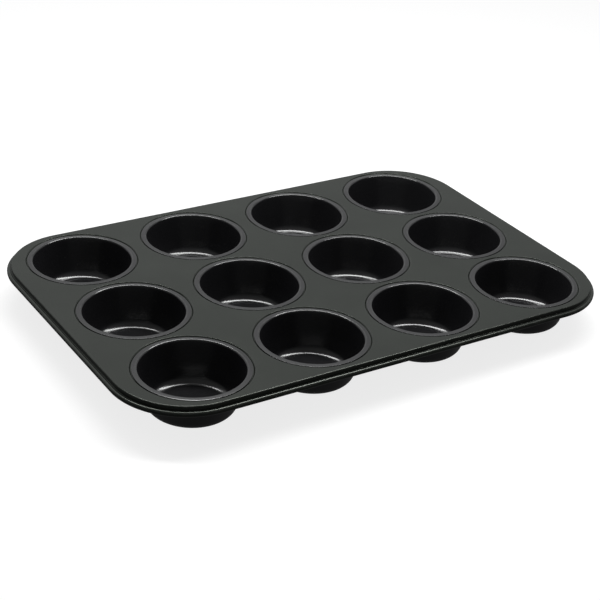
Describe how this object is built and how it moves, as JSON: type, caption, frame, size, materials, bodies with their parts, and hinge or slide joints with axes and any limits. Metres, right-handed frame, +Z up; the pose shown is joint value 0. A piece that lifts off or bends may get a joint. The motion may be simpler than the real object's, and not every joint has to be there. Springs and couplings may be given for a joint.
{
  "type": "muffin tin",
  "caption": "Rectangular muffin tin with rounded corners, a wired rolled rim and a grid of round tapered cups set into its flat deck; dark non-stick finish.",
  "frame": {"origin": "middle of the tin's outline, at the height of the cup feet it stands on", "axes": "+X along the long side (four cups), +Y along the short side (three cups) away from row 1, +Z up out of the cups"},
  "size_m": [0.3802, 0.2602, 0.0292],
  "materials": {
    "deck_coating": "dark grey satin non-stick coating on steel sheet",
    "cup_coating": "dark grey satin non-stick coating on drawn steel sheet",
    "bare_wire": "uncoated round steel wire"
  },
  "bodies": {
    "root": {"tray_plate": "deck_coating", "rim_wire": "bare_wire", "cup_r1c1": "cup_coating", "cup_r1c2": "cup_coating", "cup_r1c3": "cup_coating", "cup_r1c4": "cup_coating", "cup_r2c1": "cup_coating", "cup_r2c2": "cup_coating", "cup_r2c3": "cup_coating", "cup_r2c4": "cup_coating", "cup_r3c1": "cup_coating", "cup_r3c2": "cup_coating", "cup_r3c3": "cup_coating", "cup_r3c4": "cup_coating"}
  },
  "joints": []
}
